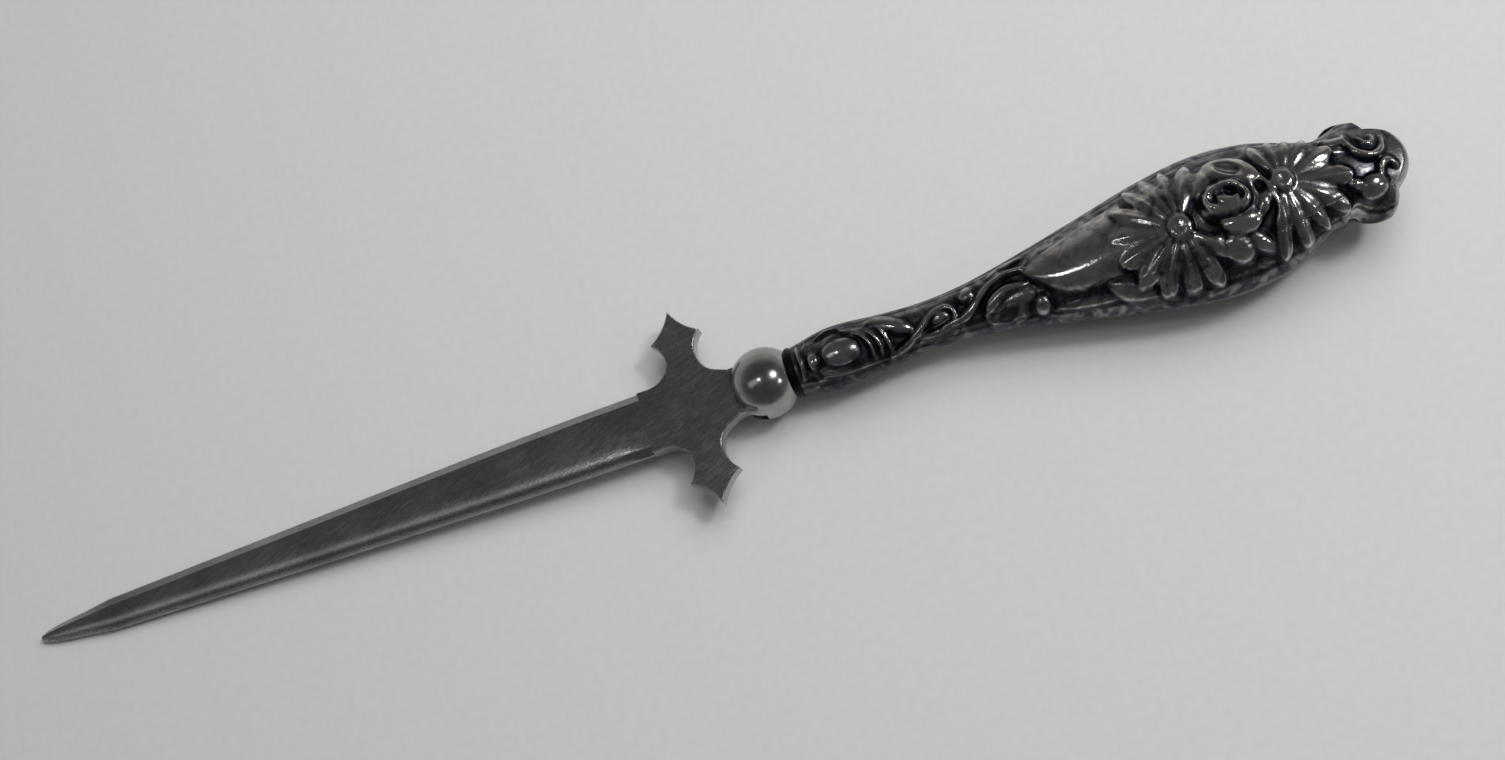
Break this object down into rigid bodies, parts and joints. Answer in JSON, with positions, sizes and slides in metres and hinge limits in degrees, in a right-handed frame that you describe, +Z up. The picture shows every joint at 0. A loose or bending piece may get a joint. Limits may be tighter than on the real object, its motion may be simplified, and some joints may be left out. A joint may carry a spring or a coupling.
{
  "type": "letter opener",
  "caption": "Antique letter opener with a dark steel blade, forked cross guard, polished ball collar and a stamped silver handle with flowers in relief.",
  "frame": {"origin": "On the ground under the middle of the whole, in the lying pose with the blade's tip and the handle's belly on the ground.", "axes": "+X runs along the opener from the tip to the butt, +Y across it to the left when looking along +X, +Z up."},
  "size_m": [0.1896, 0.0272, 0.0149],
  "materials": {
    "steel": "dark, worn, finely scratched",
    "polished_ball": "polished",
    "silver": "tarnished silver, polished on the high places",
    "setting_cement": "matte"
  },
  "bodies": {
    "root": {"blade": "steel", "ball_collar": "polished_ball", "mouth_ring": "silver", "front_shell": "silver", "back_shell": "silver", "tang_plug": "setting_cement"}
  },
  "joints": []
}
